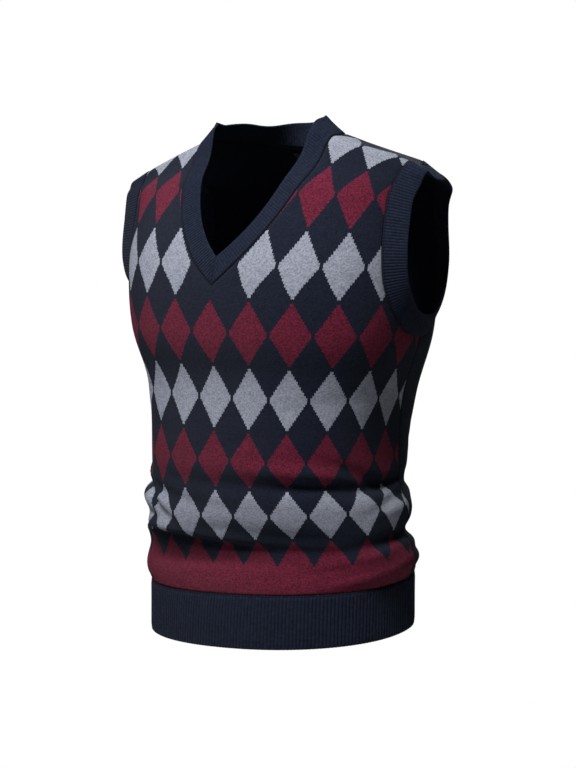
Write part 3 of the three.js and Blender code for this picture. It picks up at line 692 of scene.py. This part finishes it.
def neckband(material):
    place, normal, direction = [], [], []
    t = np.linspace(V_SHARE, 1, NECK_POINTS)
    across, up = centre_rail(t)
    rise = (t - V_SHARE) / (1 - V_SHARE)
    for sign in (-1, 1):
        points, out = cloth_points("front", sign * across, up)
        towards = -across_edge("front", centre_rail, np.maximum(t, V_SHARE + MITRE_STEP), sign)
        level = NECK_FORWARD * rise**4 + NECK_SINK * np.sin(math.pi * rise)
        towards = unit(towards + np.stack([0 * t, level, NECK_STAND * rise**2], axis=-1))
        order = slice(None) if sign < 0 else slice(None, None, -1)
        place.append(points[order])
        normal.append(out[order])
        direction.append(towards[order])
        if sign < 0:
            j = np.linspace(-1, 1, NECK_POINTS)[1:-1]
            back_across = BACK_NECK_TOP * np.sin(j * math.pi / 2)
            points, out = cloth_points("back", back_across, back_neck_up(back_across))
            inwards = unit((NECK_CENTRE - points) * [1, 1, 0])
            share = back_across / BACK_NECK_TOP
            right = lerp(BACK_LEAN["centre"], BACK_LEAN["right"], smooth(-share, 0, BACK_LEAN_FULL["right"]))
            left = lerp(BACK_LEAN["centre"], BACK_LEAN["left"], smooth(share, 0, BACK_LEAN_FULL["left"]))
            lean = np.where(share < 0, right, left)
            towards = unit(np.array([0, 0, 1.0]) + inwards * lean[:, None])
            place.append(points)
            normal.append(out)
            direction.append(towards)
    place, normal, direction = (np.concatenate(v) for v in (place, normal, direction))
    ends = direction[:1], direction[-1:]
    direction = unit(spread(direction, NECK_SPREAD))
    normal = unit(spread(normal, NECK_SPREAD))
    direction[:1], direction[-1:] = ends
    run, stations = even_stations(place, RIB_PITCH["neck"] / BAND_RIB_STEPS)
    place, normal, direction = (resample(v, run, stations) for v in (place, normal, direction))
    normal, direction = unit(normal), unit(direction)
    along = unit(np.gradient(place, axis=0))
    side = np.where(stations < run[-1] / 2, -1.0, 1.0)
    closing = np.maximum(-direction[:, 0] * side, 1e-4)
    from_v = np.minimum(stations, run[-1] - stations)
    wide = lerp(NECKBAND_V_WIDE, NECKBAND_WIDE, smooth(from_v, *NECK_WIDENS))
    to_mitre = (np.abs(place[:, 0]) - SEAM_GAP) / closing
    wide = np.where(from_v < 2 * NECKBAND_WIDE, np.minimum(wide, to_mitre), wide)
    wide = np.maximum(wide, WALL)
    places, normals, reaches = band_rows(place, normal, direction, along, wide, BAND_ROWS)
    pitch = run[-1] / round(run[-1] / RIB_PITCH["neck"])
    high = RIB_RELIEF["band"]
    return ribbed_piece("neck_rib", places, normals, reaches, stations, pitch, high, material)


# Label

LABEL_DROP = 0.005
LABEL_WIDE = 0.058
LABEL_TALL = 0.014
LABEL_THICK = 0.0009
LABEL_CLEAR = 0.0007
LABEL_SAG = 0.0006
LABEL_THREAD = 0.0003


def neck_label(material):
    """A bare woven label, just inside the back panel."""
    columns, rows = 29, 9
    across = np.linspace(-LABEL_WIDE / 2, LABEL_WIDE / 2, columns)
    drop = np.linspace(0, 1, rows)
    grid_across, grid_drop = np.meshgrid(across, drop)
    up = BACK_NECK - LABEL_DROP - grid_drop * LABEL_TALL
    place, normal = cloth_points("back", grid_across.ravel(), up.ravel())
    middle = np.cos(math.pi * grid_across.ravel() / LABEL_WIDE)
    sag = LABEL_SAG * np.sin(math.pi * grid_drop.ravel()) * middle
    place = place - normal * (WALL + LABEL_CLEAR + sag)[:, None]
    piece = new_piece("bare_label", place, grid_faces(np.arange(columns * rows).reshape(rows, columns)))
    threads = np.stack([grid_across.ravel() / LABEL_THREAD, up.ravel() / LABEL_THREAD], axis=1)
    map_points(piece, "stitches", threads)
    only(piece)
    bpy.ops.object.shade_smooth()
    piece.data.materials.append(material)
    wall = piece.modifiers.new("wall", "SOLIDIFY")
    wall.thickness = LABEL_THICK
    wall.offset = -1
    return piece


# Yarns and finishes

class Wire:
    """A shader value. Python's operators on it add Math nodes."""

    def __init__(self, finish, socket):
        self.finish = finish
        self.socket = socket

    def math(self, operation, *others):
        return self.finish.node("ShaderNodeMath", {"operation": operation}, (self, *others))

    def __add__(self, other):
        return self.math("ADD", other)

    def __sub__(self, other):
        return self.math("SUBTRACT", other)

    def __rsub__(self, other):
        return self.finish.node("ShaderNodeMath", {"operation": "SUBTRACT"}, (other, self))

    def __mul__(self, other):
        return self.math("MULTIPLY", other)

    def __truediv__(self, other):
        return self.math("DIVIDE", other)

    def __pow__(self, other):
        return self.math("POWER", other)

    def __gt__(self, other):
        return self.math("GREATER_THAN", other)

    def __lt__(self, other):
        return self.math("LESS_THAN", other)

    def __abs__(self):
        return self.math("ABSOLUTE")

    __radd__ = __add__
    __rmul__ = __mul__

    def floor(self):
        return self.math("FLOOR")

    def fract(self):
        return self.math("FRACT")

    def sin(self):
        return self.math("SINE")

    def clamp(self):
        return self.finish.node("ShaderNodeClamp", {}, (self,))


class Finish:
    """A cloth material built from wires."""

    def __init__(self, name, sheen=0.03, sheen_roughness=0.5, specular=0.08):
        self.material = bpy.data.materials.new(name)
        self.material.use_nodes = True
        self.tree = self.material.node_tree
        self.shader = next(n for n in self.tree.nodes if n.type == "BSDF_PRINCIPLED")
        self.shader.inputs["Sheen Weight"].default_value = sheen
        self.shader.inputs["Sheen Roughness"].default_value = sheen_roughness
        self.shader.inputs["Specular IOR Level"].default_value = specular

    def feed(self, socket, value):
        if isinstance(value, Wire):
            self.tree.links.new(value.socket, socket)
        elif value is not None:
            socket.default_value = value

    def node(self, kind, settings, inputs=(), output=0):
        node = self.tree.nodes.new(kind)
        for name, value in settings.items():
            setattr(node, name, value)
        sockets = inputs.items() if isinstance(inputs, dict) else enumerate(inputs)
        for name, value in sockets:
            self.feed(node.inputs[name], value)
        return Wire(self, node.outputs[output])

    def stitches(self):
        """The piece's own map: stitches across and courses up."""
        place = self.node("ShaderNodeUVMap", {"uv_map": "stitches"})
        split = self.tree.nodes.new("ShaderNodeSeparateXYZ")
        self.tree.links.new(place.socket, split.inputs[0])
        return Wire(self, split.outputs[0]), Wire(self, split.outputs[1])

    def vector(self, x, y, z=0.0):
        return self.node("ShaderNodeCombineXYZ", {}, (x, y, z))

    def mix(self, amount, first, second):
        """A colour between two colours."""
        inputs = {"Factor": amount, 6: first, 7: second}
        return self.node("ShaderNodeMix", {"data_type": "RGBA"}, inputs, output=2)

    def shade(self, colour, amount):
        """A colour made lighter or darker."""
        return self.node("ShaderNodeVectorMath", {"operation": "SCALE"}, {0: colour, "Scale": amount})

    def chance(self, vector):
        """An even random number for each whole place."""
        return self.node("ShaderNodeTexWhiteNoise", {"noise_dimensions": "3D"}, {"Vector": vector})

    def noise(self, vector, scale, detail=2.0):
        return self.node("ShaderNodeTexNoise", {}, {"Vector": vector, "Scale": scale, "Detail": detail})

    def finish(self, colour, roughness, height, relief):
        self.feed(self.shader.inputs["Base Color"], colour)
        self.feed(self.shader.inputs["Roughness"], roughness)
        bump = self.node("ShaderNodeBump", {}, {"Strength": 1.0, "Distance": relief, "Height": height})
        self.feed(self.shader.inputs["Normal"], bump)
        return self.material


NAVY = (0.0060, 0.0084, 0.0190, 1)
NAVY_LIGHT = (0.0170, 0.0232, 0.0460, 1)
BURGUNDY = (0.0660, 0.0058, 0.0170, 1)
BURGUNDY_LIGHT = (0.2500, 0.0250, 0.0640, 1)
GREY = (0.2100, 0.2300, 0.2950, 1)
GREY_LIGHT = (0.5200, 0.5450, 0.6500, 1)
SLANT = 0.8
STITCH_RELIEF = 0.0005
VALLEY_SHADE = 0.62
STITCH_SHADE = 0.5
DIAMOND_REACH = 0.972
PLAIN_TIP = 5.5


def knit(across, up):
    """Stocking stitch: the column and course of each stitch, and the height of its two slanted legs."""
    inside = across.fract()
    leg = abs(inside * 2 - 1)
    leaning = up - leg * SLANT
    column, course = across.floor(), leaning.floor()
    round_leg = 1 - abs((inside * 2).fract() * 2 - 1) ** 2.5
    round_loop = 1 - abs(leaning.fract() * 2 - 1) ** 4
    return column, course, round_leg * round_loop


def melange(finish, column, course, across, up, dark, light):
    """A yarn spun of darker and lighter fibres: it varies along each stitch and between stitches."""
    fibre = finish.noise(finish.vector(across * 0.9, up * 0.55, column * 7.3), 1.6, 3.0)
    stitch = finish.chance(finish.vector(column, course, 3.0))
    amount = ((fibre - 0.5) * 1.5 + (stitch - 0.5) * 0.55 + 0.5).clamp()
    return finish.mix(amount, dark, light)


def diamond_finish():
    """Three yarns in rows of diamonds, charted by stitch and course."""
    finish = Finish("argyle_knit")
    across, up = finish.stitches()
    column, course, height = knit(across, up)
    wide = (column + 0.5) / DIAMOND_STITCHES
    tall = (course + 0.5) / DIAMOND_COURSES
    from_side = abs((wide + 0.5).fract() * 2 - 1)
    from_tip = abs(tall.fract() * 2 - 1)
    diamond = (from_side + from_tip) < DIAMOND_REACH
    band = course < DIAMOND_COURSES / 2
    under_v = (abs(column + 0.5) < DIAMOND_STITCHES / 2) * (abs(tall - PLAIN_TIP) < 0.5)
    motif = (diamond * (1 - under_v) + band) > 0.5
    grey_row = (tall * 0.5).fract() > 0.5
    navy = melange(finish, column, course, across, up, NAVY, NAVY_LIGHT)
    burgundy = melange(finish, column, course, across, up, BURGUNDY, BURGUNDY_LIGHT)
    grey = melange(finish, column, course, across, up, GREY, GREY_LIGHT)
    colour = finish.mix(motif, navy, finish.mix(grey_row, burgundy, grey))
    colour = finish.shade(colour, VALLEY_SHADE + height * STITCH_SHADE)
    return finish.finish(colour, 0.95 - height * 0.12, height, STITCH_RELIEF)


def plain_finish():
    finish = Finish("navy_knit")
    across, up = finish.stitches()
    column, course, height = knit(across, up)
    navy = melange(finish, column, course, across, up, NAVY, NAVY_LIGHT)
    colour = finish.shade(navy, VALLEY_SHADE + height * STITCH_SHADE)
    return finish.finish(colour, 0.95 - height * 0.12, height, STITCH_RELIEF)


FLOAT_RUN = 6
FLOAT_FEW = 0.55


def inside_finish(name, floats):
    """The purl side: short arches course by course, with floats of the other yarns behind the diamonds."""
    finish = Finish(name, sheen=0.0, specular=0.1)
    across, up = finish.stitches()
    column = (across * 2).floor()
    shifted = up + (column * 0.5).fract()
    course = shifted.floor()
    arch = 1 - abs(shifted.fract() * 2 - 1) ** 2
    navy = melange(finish, column, course, across, up, NAVY, NAVY_LIGHT)
    if floats:
        wide = (across / DIAMOND_STITCHES + 0.5).fract()
        tall = up / DIAMOND_COURSES
        diamond = (abs(wide * 2 - 1) + abs(tall.fract() * 2 - 1)) < 1.0
        grey_row = (tall * 0.5).fract() > 0.5
        other = finish.mix(grey_row, BURGUNDY, GREY)
        strand = finish.chance(finish.vector((across / FLOAT_RUN).floor(), course, 1.0))
        amount = (strand > FLOAT_FEW) * (0.75 - diamond * 0.45) * 0.55
        navy = finish.mix(amount, navy, other)
    # Painted shade: the colour is darker between the arches and lighter on their tops.
    colour = finish.shade(navy, 0.6 + arch * 0.4)
    return finish.finish(colour, 0.97, arch, STITCH_RELIEF)


LINKED_COURSES = 1.6
LINKED_SHADE = 0.4


def rib_finish(name, depth):
    """One by one rib: a column of stitches on each ridge, with the purl column sunk between.
    depth: how much darker the sunk columns are, painted shade in the grooves between the ribs. The first
    courses, by the seam, are darker too."""
    finish = Finish(name)
    ribs, up = finish.stitches()
    inside = ribs.fract()
    ridge = 1 - abs(inside * 2 - 1) ** 2
    leg = abs(inside * 2 - 1)
    leaning = up - leg * 0.9
    loop = 1 - abs(leaning.fract() * 2 - 1) ** 4
    column = ribs.floor()
    navy = melange(finish, column, leaning.floor(), ribs * 2, up, NAVY, NAVY_LIGHT)
    height = loop * ridge
    linking = (up < LINKED_COURSES) * LINKED_SHADE
    # Painted shade: the sunk purl columns are darker by depth, and the raised loops of each stitch a little
    # lighter.
    colour = finish.shade(navy, 0.88 - depth + ridge * depth + height * 0.12 - linking)
    return finish.finish(colour, 0.95 - ridge * 0.1, height, STITCH_RELIEF * 0.7)


def label_finish():
    finish = Finish("label_weave", sheen=0.1, specular=0.4)
    across, up = finish.stitches()
    weave = (across * math.pi).sin() * (up * math.pi).sin()
    # Painted shade: the weave's low places are darker and its raised threads lighter.
    cloth = finish.mix((weave + 1) * 0.5, (0.012, 0.012, 0.016, 1), (0.03, 0.031, 0.038, 1))
    return finish.finish(cloth, 0.55, weave, 0.00008)


# Building and riding

def flat_area(piece):
    """The cut's flat area: its faces laid out on the pattern."""
    layer = np.empty(len(piece.data.loops) * 2)
    piece.data.uv_layers["stitches"].data.foreach_get("uv", layer)
    corner = layer.reshape(-1, 2) * [STITCH_WIDE, COURSE_TALL]
    total = 0.0
    for face in piece.data.polygons:
        p = corner[face.loop_start:face.loop_start + face.loop_total]
        q = np.roll(p, -1, axis=0)
        total += abs((p[:, 0] * q[:, 1] - q[:, 0] * p[:, 1]).sum()) / 2
    return total


def put_on(piece, node):
    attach(piece, "root")
    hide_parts(node)


argyle = diamond_finish()
plain = plain_finish()
ribs = rib_finish("navy_rib", 0.30)
band_ribs = rib_finish("navy_band_rib", 0.12)
front_inside = inside_finish("argyle_inside", True)
back_inside = inside_finish("navy_inside", False)

front = front_panel([argyle, front_inside])
back = back_panel([plain, back_inside])
rib_front = hem_rib("hem_ribs_front", "front", ribs)
rib_back = hem_rib("hem_ribs_back", "back", ribs)
neck = neckband(band_ribs)
arm_left = armhole_band("left", 1, band_ribs)
arm_right = armhole_band("right", -1, band_ribs)
label = neck_label(label_finish())

put_on(front, "front_panel")
put_on(back, "back_panel")
put_on(rib_front, "hem_rib_front")
put_on(rib_back, "hem_rib_back")
put_on(neck, "neckband")
put_on(arm_left, "armhole_band_left")
put_on(arm_right, "armhole_band_right")
put_on(label, "neck_label")

flat_area(front)
flat_area(back)


# Floor, light and camera

FLOOR_DROP = 0.95
FLOOR_WIDE = 2.8
CAMERA_TURN = 33.0
CAMERA_DISTANCE = 1.650
CAMERA_TILT = 5.1
CAMERA_HEIGHT = -0.155
CAMERA_ASIDE = 0.0036
SENSOR = 36.0
SURROUND_LIGHT = 0.07
SURROUND_SEEN = 1.0
LENS = 0.82 * CAMERA_DISTANCE * 1000 * SENSOR / 768


def floor():
    low = cad_box[0][2]
    bpy.ops.object.select_all(action="DESELECT")
    bpy.ops.mesh.primitive_plane_add(size=FLOOR_WIDE, location=(0, 0, low - FLOOR_DROP))
    piece = bpy.context.active_object
    piece.name = "floor"
    bpy.ops.object.transform_apply(location=True, rotation=False, scale=False)
    material = bpy.data.materials.new("pale_floor")
    material.use_nodes = True
    shader = next(n for n in material.node_tree.nodes if n.type == "BSDF_PRINCIPLED")
    shader.inputs["Base Color"].default_value = (0.86, 0.86, 0.87, 1)
    shader.inputs["Roughness"].default_value = 0.9
    piece.data.materials.append(material)


def area_light(name, turn, height, distance, size, power):
    """A soft light that faces the middle of the vest. turn: degrees round from the front."""
    middle = np.array([0, 0, -0.3])
    angle, lift = math.radians(turn), math.radians(height)
    back = np.array([math.sin(angle) * math.cos(lift), -math.cos(angle) * math.cos(lift), math.sin(lift)])
    data = bpy.data.lights.new(name, "AREA")
    data.shape = "SQUARE"
    data.size = size
    data.energy = power
    lamp = bpy.data.objects.new(name, data)
    lamp.location = middle + back * distance
    lamp.rotation_euler = (math.radians(90 - height), 0, angle)
    bpy.context.collection.objects.link(lamp)


def camera():
    data = bpy.data.cameras.new("camera")
    data.sensor_fit = "VERTICAL"
    data.sensor_height = SENSOR
    data.lens = LENS
    turn = math.radians(CAMERA_TURN)
    sine, cosine = math.sin(turn), math.cos(turn)
    eye = bpy.data.objects.new("camera", data)
    eye.location = (CAMERA_DISTANCE * sine + CAMERA_ASIDE * cosine,
                    -CAMERA_DISTANCE * cosine + CAMERA_ASIDE * sine, CAMERA_HEIGHT)
    eye.rotation_euler = (math.radians(90 - CAMERA_TILT), 0, turn)
    bpy.context.collection.objects.link(eye)
    bpy.context.scene.camera = eye


def world():
    """An even white surround, which lights the vest less than it shows."""
    sky = bpy.data.worlds.new("studio")
    sky.use_nodes = True
    tree = sky.node_tree
    background = tree.nodes["Background"]
    background.inputs["Color"].default_value = (1, 1, 1, 1)
    path = tree.nodes.new("ShaderNodeLightPath")
    strength = tree.nodes.new("ShaderNodeMapRange")
    strength.inputs["To Min"].default_value = SURROUND_LIGHT
    strength.inputs["To Max"].default_value = SURROUND_SEEN
    tree.links.new(path.outputs["Is Camera Ray"], strength.inputs["Value"])
    tree.links.new(strength.outputs["Result"], background.inputs["Strength"])
    bpy.context.scene.world = sky


floor()
world()
area_light("key", 4, 54, 2.4, 0.8, 80)
area_light("fill", -10, 5, 3.0, 2.0, 3.0)
area_light("behind", -155, 25, 3.0, 2.0, 55)
camera()
bpy.context.scene.view_settings.view_transform = "Standard"
